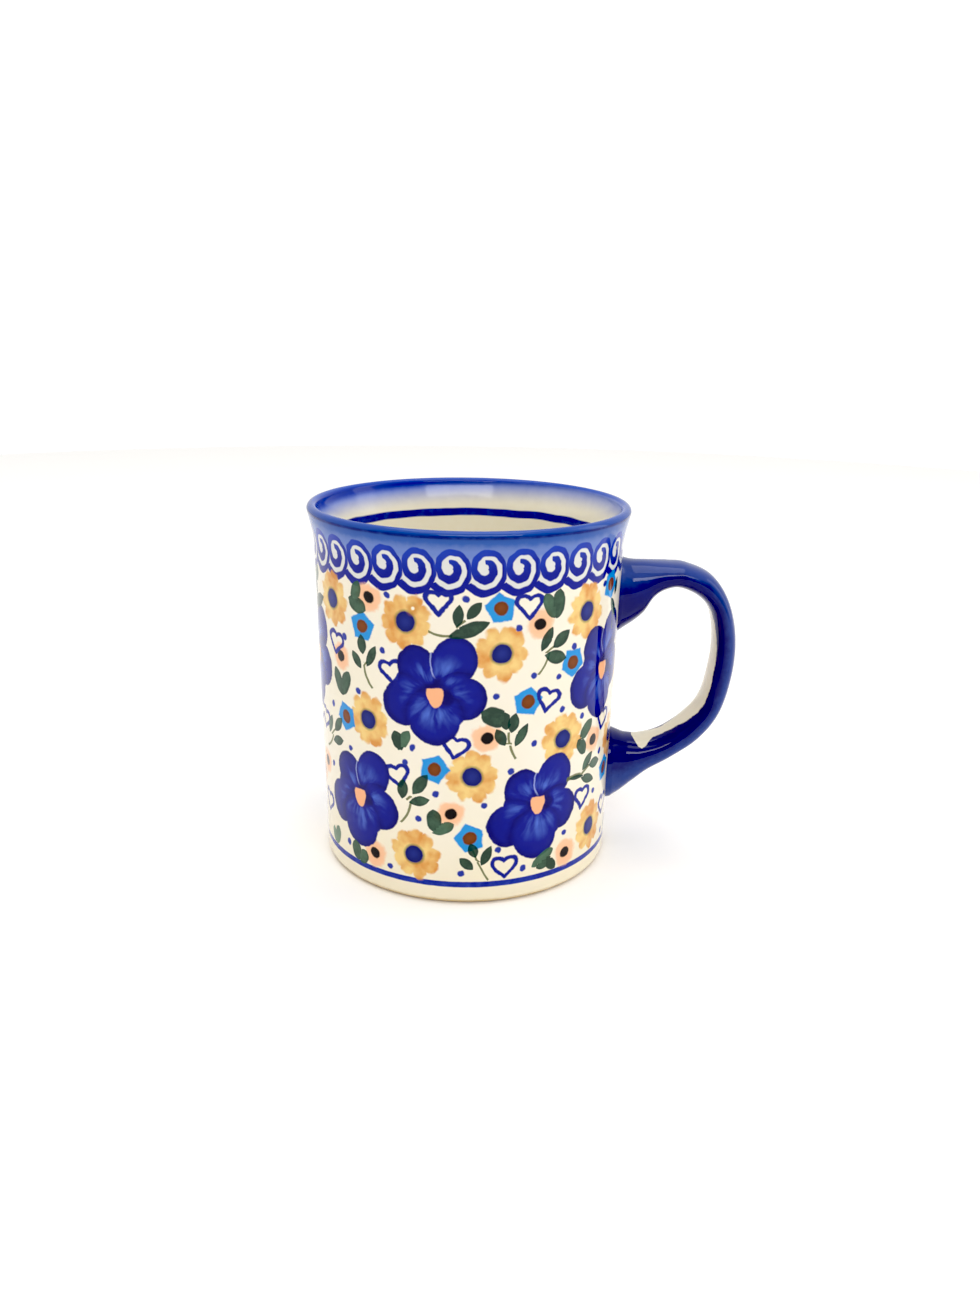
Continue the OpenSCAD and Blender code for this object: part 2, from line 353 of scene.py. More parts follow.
class Finish(Net):
    """A material under construction."""

    def __init__(self, name):
        self.material = bpy.data.materials.new(name)
        self.material.use_nodes = True
        super().__init__(self.material.node_tree)
        self.tree.nodes.clear()
        self.place = self.node("ShaderNodeTexCoord").outputs["Object"]

    def millimetres(self):
        """Object coordinates in millimetres."""
        return self.vector("SCALE", self.place, Scale=1000)

    def vector(self, operation, *vectors, **numbers):
        inputs = dict(enumerate(vectors)) | numbers
        made = self.node("ShaderNodeVectorMath", {"operation": operation}, inputs)
        return made.outputs["Vector"]

    def size_of(self, vector):
        made = self.node("ShaderNodeVectorMath", {"operation": "LENGTH"}, {0: vector})
        return Value(self, made.outputs["Value"])

    def join(self, x=0.0, y=0.0, z=0.0):
        return self.node("ShaderNodeCombineXYZ", inputs={"X": x, "Y": y, "Z": z}).outputs[0]

    def attribute(self, name):
        made = self.node("ShaderNodeAttribute", {"attribute_name": name})
        return made.outputs["Vector"]

    def motif(self, name, wobble, share=1.0):
        """Place on the nearest motif of one kind, moved by a share of the brush's wobble."""
        nudge = wobble if share == 1 else self.vector("SCALE", wobble, Scale=share)
        return self.vector("ADD", self.attribute(name), nudge)

    def third(self, name):
        """The number that a motif carries along, without the wobble."""
        return self.split(self.attribute(name))[2]

    def noise(self, vector, scale, detail=1.0, rough=0.5):
        """Soft noise about zero, from -0.5 to 0.5 or so."""
        made = self.node("ShaderNodeTexNoise", {"noise_dimensions": "3D"}, {
            "Vector": vector, "Scale": scale, "Detail": detail, "Roughness": rough})
        return Value(self, made.outputs["Fac"]) - 0.5

    def scatter(self, vector, scale, detail=1.0):
        """Noise as a vector about zero."""
        made = self.node("ShaderNodeTexNoise", {"noise_dimensions": "3D"}, {
            "Vector": vector, "Scale": scale, "Detail": detail})
        return self.vector("SUBTRACT", made.outputs["Color"], (0.5, 0.5, 0.5))

    def oval(self, vector, x, y, wide, high, turn=0.0):
        """Distance from an oval's centre, 1 on its outline."""
        made = self.node("ShaderNodeMapping", {"vector_type": "TEXTURE"}, {
            "Vector": vector, "Location": (x, y, 0), "Rotation": (0, 0, math.radians(turn)),
            "Scale": (wide, high, 1)})
        return self.size_of(made.outputs[0])

    def mix(self, share, below, above):
        """Colour above laid over colour below, by a share from 0 to 1."""
        made = self.node("ShaderNodeMix", {"data_type": "RGBA", "clamp_factor": True})
        for name, value in (("Factor", share), ("A", below), ("B", above)):
            sockets = [s for s in made.inputs if s.name == name and s.enabled]
            self.feed(sockets[0], value)
        return [s for s in made.outputs if s.enabled][0]

    def blend(self, share, below, above):
        """Number above laid over number below, by a share from 0 to 1."""
        return below + share * (above - below)

    def ramp(self, value, *stops):
        return self.node("ShaderNodeValToRGB", {"stops": stops}, {"Fac": value}).outputs["Color"]

    def surface(self, base, roughness, gloss, bump=None, bump_depth=0.0, **constants):
        """Ends the tree in one shader. Constants go on the shader's own sockets."""
        inputs = {"Base Color": base, "Roughness": roughness, "IOR": gloss}
        inputs |= {name.replace("_", " "): value for name, value in constants.items()}
        if bump is not None:
            made = self.node("ShaderNodeBump", inputs={
                "Height": bump, "Strength": 1.0, "Distance": bump_depth})
            inputs["Normal"] = made.outputs["Normal"]
        shader = self.node("ShaderNodeBsdfPrincipled", inputs=inputs)
        self.node("ShaderNodeOutputMaterial", inputs={"Surface": shader.outputs[0]})
        return self.material


# ---------------------------------------------------------------- the painting's finishes

GLAZE_IOR = 1.4
BLACK_LEVEL = 0.035
WHITE_LEVEL = 0.97
FOOT_LINE_MM = 5.7
CLAY_EDGE_AND_SHADE_MM = 1.25
WASH_MM = 85.9
LIP_WASH_MM = 91.7
LIP_LINE_MM = 93.6
INSIDE_LINE_MM = 85.6
PINHOLE_MM = (-12.7, -37.5, 76.4)
HEART_WIDE_MM = 5.2
HEART_HIGH_MM = 4.6
SPIRALS = 31
SPIRAL_MID = (5.8, 86.2)
SPIRAL_START_MM = 1.45
SPIRAL_GAIN_MM = 2.85


def brushed_wobble(finish, place):
    """Small wander that a brush gives every outline, in millimetres."""
    broad = finish.vector("SCALE", finish.scatter(place, 0.22), Scale=1.1)
    fine = finish.vector("SCALE", finish.scatter(place, 1.1), Scale=0.42)
    return finish.vector("ADD", broad, fine)


# Middle x and y, half width, half height, turn and lightness of each petal, lowest one first
PETALS = (
    (-4.4, 5.5, 5.1, 5.3, 20, 0.26), (4.7, 7.4, 5.4, 6.0, -12, 0.34),
    (-8.3, -4.0, 5.5, 5.7, 0, 0.30), (6.9, -1.9, 5.5, 5.5, 0, 0.29),
    (-0.4, -7.9, 6.3, 6.1, 0, 0.32))
UPPER_RIGHT = 1


def paint_pansy(finish, ground, colours, wobble):
    """Five overlapped petals with soft brush work round an apricot eye."""
    x, y, _ = finish.split(finish.motif("pansy", wobble, 0.8))
    rise = finish.third("pansy")
    flat = finish.join(x, y, 0.0)
    from_eye = finish.join(x, y - rise, 0.0)
    reach = finish.size_of(from_eye)
    heading = finish.node("ShaderNodeVectorMath", {"operation": "NORMALIZE"}, {0: from_eye}).outputs[0]
    ray = finish.vector("ADD", finish.vector("SCALE", heading, Scale=2.6),
                        finish.join(0.0, 0.0, reach * 0.12 + rise))
    streak = finish.noise(ray, 1.3, 2.0, 0.5)
    glow = finish.over(reach, 3.6, 1.8) * finish.under(reach, 8.6, 3.2)
    strokes = finish.over(streak, 0.06, 0.24) * glow
    body = finish.under(finish.oval(flat, -0.3, -0.7, 9.5, 10.1), 1, 0.02)
    light = 0.26 + strokes * 0.2
    arcs = None
    for number, (px, py, wide, high, turn, tone) in enumerate(PETALS):
        body = finish.most(body, finish.under(finish.oval(flat, px, py, wide, high, turn), 1.0, 0.03))
        draw_in, spread = (0.95, 1.06) if number <= UPPER_RIGHT else (0.84, 1.18)
        edge = finish.oval(flat, px * draw_in, py * draw_in, wide * spread, high * spread, turn)
        petal = finish.under(edge, 1.0, 0.03)
        crease = finish.under(edge, 1.1, 0.12)
        rim = finish.over(edge, 0.86, 0.16)
        bloom = finish.under(finish.oval(flat, px * 0.62, py * 0.62, wide * 0.6, high * 0.6), 0.85, 0.8)
        own = tone - 0.02 + bloom * (0.16 + streak * 0.7) + strokes * 0.28 - rim * 0.18
        light = finish.blend(petal, light * (1 - crease * 0.4), own)
        if number == UPPER_RIGHT:
            # bare line that parts the two upper petals
            arcs = finish.under(abs(edge - 1.0), 0.03, 0.025) * finish.under(x, 1.2, 0.5)
            arcs = arcs * finish.over(y, 3.4, 0.8) * finish.under(y, 10.6, 0.8)
    hollow = finish.under(finish.oval(from_eye, 0.6, 0.2, 3.6, 3.6), 0.9, 0.3)
    blot = finish.under(finish.oval(from_eye, 2.6, -0.4, 2.1, 1.8), 0.95, 0.3)
    light = light * (1 - hollow * 0.4) * (1 - blot * 0.7)
    shade = finish.ramp(light, (0.0, colours.pansy_rim), (0.34, colours.pansy),
                        (0.95, colours.pansy_light))
    painted = finish.mix(body, ground, shade)
    painted = finish.mix(arcs * body * 0.75, painted, tint(170, 182, 236))
    shield = finish.join(x * (1.06 - (y - rise) * 0.1), y - rise, 0.0)
    eye = finish.under(finish.oval(shield, 0, -0.3, 2.2, 2.75), 1.0, 0.07)
    eye = eye * finish.under(y - rise, 1.7, 0.16)
    return finish.mix(eye, painted, colours.shield)


def paint_daisy(finish, ground, colours, wobble, grain):
    """Nine-lobed ochre flower with a blue eye, uneven as thin colour dries."""
    x, y, _ = finish.split(finish.motif("daisy", wobble, 0.6))
    seed = finish.third("daisy")
    flat = finish.join(x, y, 0.0)
    reach = finish.size_of(flat)
    turn = finish.maths("ARCTAN2", y, x)
    lobe = abs(finish.maths("SINE", turn * 4.5 + seed * 6.3)) ** 0.6
    uneven = finish.noise(finish.join(x, y, seed * 9), 0.2, 2.0)
    ragged = finish.noise(finish.join(x, y, seed * 9), 0.5, 1.0)
    outline = 5.45 + lobe * 1.25 + uneven * 2.8 + ragged * 1.7
    body = finish.under(reach - outline, 0, 0.42)
    pooled = finish.under(outline - reach, 0.9, 0.9) * 0.08
    tone = 0.34 + uneven * 2.6 + ragged * 0.5 + grain * 0.7 + pooled + (seed - 0.5) * 0.3
    shade = finish.ramp(tone, (0.0, colours.ochre), (0.85, colours.amber))
    painted = finish.mix(body * 0.94, ground, shade)
    ring = finish.under(abs(reach - 2.55), 0.3, 0.35)
    painted = finish.mix(ring * 0.6, painted, tint(104, 112, 62))
    eye = finish.under(reach, 2.45, 0.2)
    eye_shade = finish.mix(finish.under(reach, 1.3, 1.2) * 0.35, tint(28, 34, 112), tint(58, 74, 168))
    return finish.mix(eye, painted, eye_shade)


def paint_small_flowers(finish, ground, colours, wobble, grain):
    """Round peach flowers with a black eye, and five-sided turquoise ones with a brown eye."""
    x, y, seed = finish.split(finish.motif("round_flower", wobble, 0.6))
    reach = finish.size_of(finish.join(x, y, 0.0))
    uneven = finish.noise(finish.join(x, y, seed * 9), 0.24, 2.0)
    body = finish.under(reach + grain + uneven * 3, 3.5, 0.65)
    shade = finish.mix(finish.under(reach, 1.6, 1.4) * 0.5, colours.peach, tint(250, 168, 120))
    painted = finish.mix(body * 0.9, ground, shade)
    eye = finish.under(finish.oval(finish.join(x, y, 0.0), 0, 0, 1.6, 1.5), 1.0, 0.12)
    painted = finish.mix(eye, painted, colours.black)

    x, y, _ = finish.split(finish.motif("star_flower", wobble, 0.6))
    seed = finish.third("star_flower")
    reach = finish.size_of(finish.join(x, y, 0.0))
    turn = finish.maths("ARCTAN2", y, x) + seed * 1.2
    side = finish.maths("PINGPONG", turn + math.tau, math.pi / 5)
    body = finish.under(reach * finish.maths("COSINE", side) + grain, 3.2, 0.22)
    thin = finish.under(reach + grain * 3, 2.6, 1.4)
    shade = finish.mix(thin * 0.15, colours.turquoise, colours.aqua)
    painted = finish.mix(body * 0.97, painted, shade)
    eye = finish.under(reach + grain * 0.5, 1.75, 0.22)
    brown = finish.mix(finish.under(reach, 0.9, 0.8) * 0.4, colours.brown, tint(150, 84, 44))
    return finish.mix(eye, painted, brown)


def paint_hearts_and_dots(finish, ground, colours, wobble):
    """Open hearts drawn with one stroke, and small round spots."""
    x, y, _ = finish.split(finish.motif("heart", wobble))
    out = abs(x) / HEART_WIDE_MM
    up = (y - abs(x) * 0.16) / HEART_HIGH_MM + 0.58
    lobe = abs(finish.size_of(finish.join(out - 0.25, up - 0.75, 0.0)) - 0.354)
    foot = finish.most(out + up, 0) * 0.5
    side = finish.least(finish.size_of(finish.join(out, up - 1, 0.0)),
                        finish.size_of(finish.join(out - foot, up - foot, 0.0)))
    gap = finish.blend(finish.over(out + up, 1, 0.02), side, lobe)
    stroke = finish.under(gap * HEART_HIGH_MM, 0.52, 0.15)
    painted = finish.mix(stroke, ground, colours.line)
    x, y, _ = finish.split(finish.motif("dot", wobble))
    spot = finish.under(finish.size_of(finish.join(x, y, 0.0)), 0.85, 0.18)
    return finish.mix(spot, painted, finish.mix(0.35, colours.line, tint(70, 90, 185)))


def paint_leaves(finish, ground, colours, wobble, grain):
    """Leaves are ovals drawn to a point, broad leaves keep a blunt end, stems bow."""
    along, across, bow = finish.split(finish.motif("stem", wobble, 0.3))
    line = abs(across - bow * (1 - along * along))
    stroke = finish.under(line, 0.32, 0.12) * finish.under(abs(along), 1.0, 0.04)
    painted = finish.mix(stroke * 0.9, ground, colours.stem)
    for name, power in (("leaf", 2.2), ("broad_leaf", 3.2)):
        along, across, tone = finish.split(finish.motif(name, wobble, 0.22))
        taper = 1.1 - abs(along) ** power * 1.1
        body = finish.under(abs(across) - taper, 0, 0.09) * finish.under(abs(along), 1.0, 0.05)
        pooled = finish.over(abs(across) - taper, -0.34, 0.3)
        shade_tone = tone * 0.8 - 0.06 + grain * 0.7 - pooled * 0.12
        shade = finish.ramp(shade_tone, (0.0, colours.leaf_dark), (1.0, colours.leaf_light))
        painted = finish.mix(body * 0.96, painted, shade)
    return painted


def spiral_gap(finish, x, y):
    """Distance from one spiral's stroke less half its width, and distance from its outer ring."""
    reach = finish.size_of(finish.join(x * 1.04, y * 0.9, 0.0))
    turn = (finish.maths("ARCTAN2", y, x) / -math.tau) % 1.0
    reach = reach * (1 + finish.maths("COSINE", turn * math.tau * 9) * 0.014)
    first = SPIRAL_START_MM + SPIRAL_GAIN_MM * turn
    second = first + SPIRAL_GAIN_MM
    ends = finish.under(turn, 0.40, 0.015)
    hook = finish.over(turn, 0.7, 0.02)
    inner = abs(reach - first) - (1.1 - turn * 0.52)
    outer = abs(reach - second) - (0.56 + turn) + (1 - ends) * 9
    start = abs(reach - SPIRAL_START_MM - (1 - turn) * 0.5) - turn * 2 + 0.95 + (1 - hook) * 9
    rim = finish.blend(finish.under(turn, 0.40, 0.02), first, second)
    return finish.least(finish.least(inner, outer), start), reach - rim


def paint_border(finish, ground, colours, place, grain):
    """Wash round the lip, a running border of spirals and the line above the foot."""
    x, y, height = finish.split(place)
    turn = finish.maths("ARCTAN2", x, -y) * (180 / math.pi)
    wander = finish.scatter(place, 0.55, 1.0)
    wander_x, wander_y, _ = finish.split(finish.vector("SCALE", wander, Scale=0.5))
    pitch = 360 / SPIRALS
    pitch_mm = pitch * MM_PER_DEGREE
    unit = ((turn - SPIRAL_MID[0]) / pitch + 0.5) % 1.0 - 0.5
    across = unit * pitch_mm + wander_x
    up = height - SPIRAL_MID[1] + wander_y
    beside = across - finish.maths("SIGN", across) * pitch_mm
    gap, inside = spiral_gap(finish, across, up)
    gap_beside, inside_beside = spiral_gap(finish, beside, up)
    gap = finish.least(gap, gap_beside)
    inside = finish.least(inside, inside_beside)

    fall = height + grain * 2.2
    wash = finish.over(fall, WASH_MM, 3.8)
    ringed = finish.under(inside, 0, 0.2)
    # The wash deepens up the flare to the lip line. The last stop, over the crest, is lighter again,
    # partly the wash's own blue and partly a painted highlight along the lip.
    deep = finish.ramp((height - 86) / 9 + grain * 0.1, (0.48, colours.wash), (0.68, tint(58, 98, 176)),
                       (0.86, tint(38, 78, 160)), (1.0, tint(50, 84, 168)))
    washed = finish.mix(wash * 0.95, ground, deep)
    washed = finish.mix(ringed, washed, tint(226, 226, 222))
    stroke_tone = finish.under(height - across * 0.5 + grain * 4, 87.5, 4.5)
    stroke = finish.mix(stroke_tone, tint(36, 66, 180), tint(24, 32, 146))
    painted = finish.mix(finish.under(gap, 0, 0.13), washed, stroke)
    painted = finish.mix(finish.over(fall, LIP_WASH_MM, 0.7) * 0.92, painted, deep)
    lip_line = finish.under(abs(height - LIP_LINE_MM), 0.3, 0.26)
    painted = finish.mix(lip_line * (0.9 + grain * 2), painted, tint(10, 30, 118))
    foot = finish.under(abs(height - FOOT_LINE_MM + wander_y * 0.3), 0.78, 0.12)
    foot_tone = finish.mix(finish.over(grain, 0.05, 0.25), tint(26, 42, 152), tint(52, 72, 172))
    painted = finish.mix(foot, painted, foot_tone)
    # Clay colour along the foot's corner, partly where the glaze thins to the clay and partly painted
    # contact shade where the foot meets the table.
    thin = finish.under(height + grain * 0.8, CLAY_EDGE_AND_SHADE_MM, 0.6)
    return finish.mix(thin * 0.9, painted, colours.clay)


def cream_ground(finish, colours, height, grain):
    """Cream glaze, mottled a little warmer in places, and warmer and a little darker low on the wall.
    """
    thick = finish.mix(0.5 + grain * 1.6, colours.cream, tint(249, 240, 216))
    return finish.mix(finish.under(height, 12, 22) * 0.5, thick, tint(246, 232, 190))


def paint_pinhole_and_glint(finish, ground, place, wobble):
    """Brown halo where one bubble broke in the glaze, with a pale dot in its middle painted as the
    flaw's highlight.
    """
    away = finish.vector("SUBTRACT", place, PINHOLE_MM)
    halo = finish.size_of(finish.vector("ADD", away, wobble))
    blot = finish.over(halo, 0.45, 0.2) * finish.under(halo, 1.5, 0.7)
    painted = finish.mix(blot * 0.6, ground, tint(196, 122, 44))
    # Painted highlight: the pale dot stands in for the glint on the flaw.
    return finish.mix(finish.under(finish.size_of(away), 0.42, 0.16), painted, tint(255, 248, 226))


def glazed(finish, painted, place, mean_rough, spread=0.06, depth=0.06 * MM):
    """Gloss of a glaze, with the faint ripple of a thrown wall under a fine orange-peel."""
    roughness = mean_rough + finish.noise(place, 0.3, 2.0) * spread
    ripple = finish.noise(place, 0.08, 1.0) * 1.2 + finish.noise(place, 0.9, 1.0) * 0.12
    return finish.surface(painted, roughness, GLAZE_IOR, ripple, depth)


def painted_glaze(colours):
    """Cream outside with its borders, then the motifs, each over the one before."""
    finish = Finish("painted_glaze")
    place = finish.millimetres()
    wobble = brushed_wobble(finish, place)
    grain = finish.noise(place, 0.35, 3.0, 0.6)
    _, _, height = finish.split(place)
    ground = cream_ground(finish, colours, height, finish.noise(place, 0.05, 2.0))
    painted = paint_border(finish, ground, colours, place, grain)
    painted = paint_daisy(finish, painted, colours, wobble, grain)
    painted = paint_small_flowers(finish, painted, colours, wobble, grain)
    painted = paint_hearts_and_dots(finish, painted, colours, wobble)
    painted = paint_pansy(finish, painted, colours, wobble)
    painted = paint_leaves(finish, painted, colours, wobble, grain)
    painted = paint_pinhole_and_glint(finish, painted, place, wobble)
    return glazed(finish, painted, place, 0.07)


def cream_glaze(colours):
    """Cream inside with the lip's wash running over and one brushed line."""
    finish = Finish("cream_glaze")
    place = finish.millimetres()
    across, _, height = finish.split(place)
    grain = finish.noise(place, 0.35, 3.0, 0.6)
    ground = finish.mix(0.45 + grain * 0.8, tint(248, 243, 226), tint(242, 234, 208))
    fall = height + grain * 0.5 - across * 0.035
    wash = finish.over(fall, 90.9, 3.6)
    painted = finish.mix(wash * 0.95, ground, tint(78, 116, 214))
    painted = finish.mix(finish.over(fall, 93.4, 1.0), painted, tint(30, 60, 172))
    # The lip's crest is painted a lighter blue than the band below it, partly the wash's own blue and
    # partly a painted highlight along the lip.
    painted = finish.mix(finish.over(height, 94.55, 0.3), painted, tint(48, 84, 178))
    wander = finish.noise(place, 0.12, 1.0) * 0.7
    line = finish.under(abs(height - INSIDE_LINE_MM + wander), 1.08, 0.2)
    line_tone = finish.mix(finish.over(grain, 0.06, 0.2) * 0.6, tint(26, 36, 146), tint(56, 80, 186))
    painted = finish.mix(line, painted, line_tone)
    return glazed(finish, painted, place, 0.09)


def cobalt_glaze(colours):
    """Dipped cobalt, with the loop's inner face left cream."""
    finish = Finish("cobalt_glaze")
    place = finish.millimetres()
    grain = finish.noise(place, 0.3, 3.0, 0.6)
    fine = finish.noise(place, 0.9, 2.0)
    bare, outward, station = finish.split(finish.attribute("strap"))
    depth = bare + grain * 1.5 + fine * 0.6
    thin = finish.over(finish.noise(place, 0.12, 2.0) + grain * 0.3, 0.05, 0.2)
    blue = finish.mix(thin * 0.25, colours.cobalt, tint(26, 44, 142))
    edge = finish.under(abs(depth), 0.5, 0.5) * 0.35
    blue = finish.mix(edge, blue, tint(16, 16, 84))
    # Painted sheen: the strap's outer face, reaching further round past the bend, is painted a lighter
    # grey-blue, partly where the glaze thins over the edge and partly standing in for reflected light.
    past_bend = finish.over(station, 6, 2.5)
    crest = finish.over(outward + grain * 0.6 + past_bend * 0.3, 0.28, 0.28)
    blue = finish.mix(crest * 0.85, blue, tint(54, 76, 146))
    painted = finish.mix(finish.over(depth, 0, 0.22), blue, tint(236, 229, 208))
    return glazed(finish, painted, place, 0.06, 0.05, 0.08 * MM)


def bare_stoneware(name, base):
    """Unglazed clay: fine sand, faint throwing rings and a few iron specks."""
    finish = Finish(name)
    place = finish.millimetres()
    sand = finish.noise(place, 2.4, 3.0, 0.65)
    cloud = finish.noise(place, 0.12, 2.0)
    speck = finish.over(finish.noise(place, 1.3, 0.0), 0.27, 0.03)
    shade = finish.mix(0.5 + cloud * 1.2 + sand * 0.5, base, tuple(0.82 * part for part in base))
    shade = finish.mix(speck * 0.6, shade, tint(112, 84, 60))
    roughness = 0.78 + sand * 0.2
    return finish.surface(shade, roughness, 1.5, sand, 0.05 * MM)


# ---------------------------------------------------------------- shapes

class Shape:
    """Outlines of the mug, in metres, worked out from its sizes."""

    def __init__(self, sizes):
        self.sizes = sizes
        self.lip_r = sizes.lip_thickness / 2
        self.lip_mid_r = sizes.lip_radius - self.lip_r
        self.lip_mid_z = sizes.cup_height - self.lip_r
        self.flare_z = self.lip_mid_z - sizes.flare_height
        self.inner_corner = 6 * MM
        self.floor_mid_z = sizes.floor_height + self.inner_corner
        self.floor_mid_r = self.plain_wall(self.floor_mid_z) - sizes.wall_thickness - self.inner_corner
        self.corner_mid_r = self.plain_wall(sizes.foot_round) - sizes.foot_round
        self.hollow_r = self.corner_mid_r - sizes.foot_ring - sizes.foot_hollow

    def plain_wall(self, z):
        low, high = self.sizes.wall_base_radius, self.sizes.wall_top_radius
        return low + (high - low) * z / self.flare_z

    def opened(self, z):
        t = max(0, (z - self.flare_z) / self.sizes.flare_height)
        return t * t * (3 - t) / 2

    def outside(self, z, coat):
        """Outside radius at height z, lifted off the clay by the given coat."""
        plain = self.plain_wall(z)
        return plain + (self.lip_mid_r + self.lip_r - plain) * self.opened(z) - self.sizes.glaze + coat

    def inside(self, z, coat):
        plain = self.plain_wall(z) - self.sizes.wall_thickness
        return plain + (self.lip_mid_r - self.lip_r - plain) * self.opened(z) + self.sizes.glaze - coat

    def outer_line(self, coat, steps, from_angle=-52):
        """Outside profile, from the foot's corner up to the crest of the lip."""
        foot = self.sizes.foot_round
        radius = foot - self.sizes.glaze + coat
        wall = [(self.outside(z, coat), z) for z in np.linspace(foot, self.flare_z, steps + 1)[1:]]
        flare_steps = max(3, steps // 9)
        flare = np.linspace(self.flare_z, self.lip_mid_z, flare_steps + 1)[1:-1]
        return (arc(self.corner_mid_r, foot, radius, from_angle, 0)
                + wall
                + [(self.outside(z, coat), z) for z in flare]
                + arc(self.lip_mid_r, self.lip_mid_z, self.lip_r - self.sizes.glaze + coat, 0, 90))

    def inner_line(self, coat, steps):
        """Inside profile, from the crest of the lip down to the middle of the floor."""
        corner = self.inner_corner + self.sizes.glaze - coat
        flare = np.linspace(self.lip_mid_z, self.flare_z, max(3, steps // 4) + 1)[1:]
        wall = np.linspace(self.flare_z, self.floor_mid_z, steps + 1)[1:-1]
        floor = self.floor_mid_z - corner
        flat = [(r, floor) for r in np.linspace(self.floor_mid_r, 0, 8)[1:]]
        return (arc(self.lip_mid_r, self.lip_mid_z, self.lip_r - self.sizes.glaze + coat, 90, 180)
                + [(self.inside(z, coat), z) for z in flare]
                + [(self.inside(z, coat), z) for z in wall]
                + arc(self.floor_mid_r, self.floor_mid_z, corner, 0, -90)
                + flat)

    def hollow_line(self, coat):
        """Profile of the hollow inside the foot ring, from the axis outwards."""
        depth = self.sizes.foot_hollow - coat
        flat = [(r, depth) for r in np.linspace(0, self.hollow_r, 6)[:-1]]
        return flat + arc(self.hollow_r, 0, depth, 90, 20)


def arc(r, z, radius, start, end, steps=10):
    angles = np.radians(np.linspace(start, end, steps + 1))
    return [(r + radius * math.cos(a), z + radius * math.sin(a)) for a in angles]


def thrown_coat_tree():
    """Geometry Nodes that turn a profile, drawn in the XZ plane, round the mug's axis."""
    tree = bpy.data.node_groups.new("Thrown coat", "GeometryNodeTree")
    face = tree.interface
    face.new_socket("Profile", in_out="INPUT", socket_type="NodeSocketGeometry")
    turns = face.new_socket("Segments", in_out="INPUT", socket_type="NodeSocketInt")
    turns.default_value = 180
    turns.min_value = 12
    face.new_socket("Finish", in_out="INPUT", socket_type="NodeSocketMaterial")
    face.new_socket("Coat", in_out="OUTPUT", socket_type="NodeSocketGeometry")
    net = Net(tree)
    given = net.node("NodeGroupInput")
    profile = given.outputs["Profile"]
    segments = Value(net, given.outputs["Segments"])
    count = net.node("GeometryNodeAttributeDomainSize", {"component": "MESH"}, {"Geometry": profile})
    rows = Value(net, count.outputs["Point Count"])
    grid = net.node("GeometryNodeMeshGrid", inputs={
        "Size X": 1.0, "Size Y": 1.0, "Vertices X": segments + 1, "Vertices Y": rows})
    index = Value(net, net.node("GeometryNodeInputIndex").outputs[0])
    meridian = net.maths("FLOOR", (index + 0.5) / rows)
    along = index - meridian * rows
    position = net.node("GeometryNodeInputPosition").outputs[0]
    sample = net.node("GeometryNodeSampleIndex", {"data_type": "FLOAT_VECTOR", "domain": "POINT"}, {
        "Geometry": profile, "Value": position, "Index": along})
    turned = net.node("ShaderNodeVectorRotate", {"rotation_type": "Z_AXIS"}, {
        "Vector": sample.outputs[0], "Angle": meridian / segments * math.tau})
    named = net.node("GeometryNodeStoreNamedAttribute", {"data_type": "FLOAT2", "domain": "CORNER"}, {
        "Geometry": grid.outputs["Mesh"], "Name": "Wrap", "Value": grid.outputs["UV Map"]})
    placed = net.node("GeometryNodeSetPosition", inputs={
        "Geometry": named.outputs[0], "Position": turned.outputs[0]})
    merged = net.node("GeometryNodeMergeByDistance", inputs={
        "Geometry": placed.outputs[0], "Distance": 0.001 * MM})
    smooth = net.node("GeometryNodeSetShadeSmooth", inputs={"Geometry": merged.outputs[0]})
    whole = net.node("GeometryNodeRealizeInstances", inputs={"Geometry": smooth.outputs[0]})
    coated = net.node("GeometryNodeSetMaterial", inputs={
        "Geometry": whole.outputs[0], "Material": given.outputs["Finish"]})
    net.node("NodeGroupOutput", inputs={"Coat": coated.outputs[0]})
    return tree


def linked(name, data):
    """A new object in the scene."""
    made = bpy.data.objects.new(name, data)
    bpy.context.scene.collection.objects.link(made)
    return made


def throw(name, glaze_side, clay_side, segments, material):
    """Makes one closed coat from its two profiles and returns it as a plain mesh object."""
    profile = glaze_side + clay_side[::-1] + glaze_side[:1]
    drawn = bpy.data.meshes.new(name + "_profile")
    points = [(r, 0, z) for r, z in profile]
    drawn.from_pydata(points, [(i, i + 1) for i in range(len(points) - 1)], [])
    holder = linked(name + "_profile", drawn)
    tree = bpy.data.node_groups.get("Thrown coat") or thrown_coat_tree()
    modifier = holder.modifiers.new("Thrown coat", "NODES")
    modifier.node_group = tree
    sockets = {item.name: item.identifier for item in tree.interface.items_tree
               if item.in_out == "INPUT"}
    modifier[sockets["Segments"]] = segments
    modifier[sockets["Finish"]] = material
    evaluated = holder.evaluated_get(bpy.context.evaluated_depsgraph_get())
    mesh = bpy.data.meshes.new_from_object(evaluated)
    if not mesh.polygons:
        raise RuntimeError(f"{name} came out empty")
    mesh.name = name
    bpy.data.objects.remove(holder)
    bpy.data.meshes.remove(drawn)
    return finished_piece(name, mesh, material)


def finished_piece(name, mesh, material):
    if not mesh.materials:
        mesh.materials.append(material)
    mesh.set_sharp_from_angle(angle=math.radians(40))
    if signed_volume(mesh) < 0:
        mesh.flip_normals()
    return linked(name, mesh)


def read(items, name, count=1, kind=np.int32):
    """One property of every item of a mesh, as an array."""
    values = np.zeros(len(items) * count, dtype=kind)
    items.foreach_get(name, values)
    return values


def corner_points(mesh):
    return read(mesh.vertices, "co", 3, float).reshape(-1, 3)


def signed_volume(mesh):
    """Volume inside a closed mesh, below zero when its faces point inwards."""
    mesh.calc_loop_triangles()
    corners = corner_points(mesh)
    picks = read(mesh.loop_triangles, "vertices", 3)
    a, b, c = corners[picks.reshape(-1, 3).T]
    return float(np.einsum("ij,ij->i", a, np.cross(b, c)).sum() / 6)


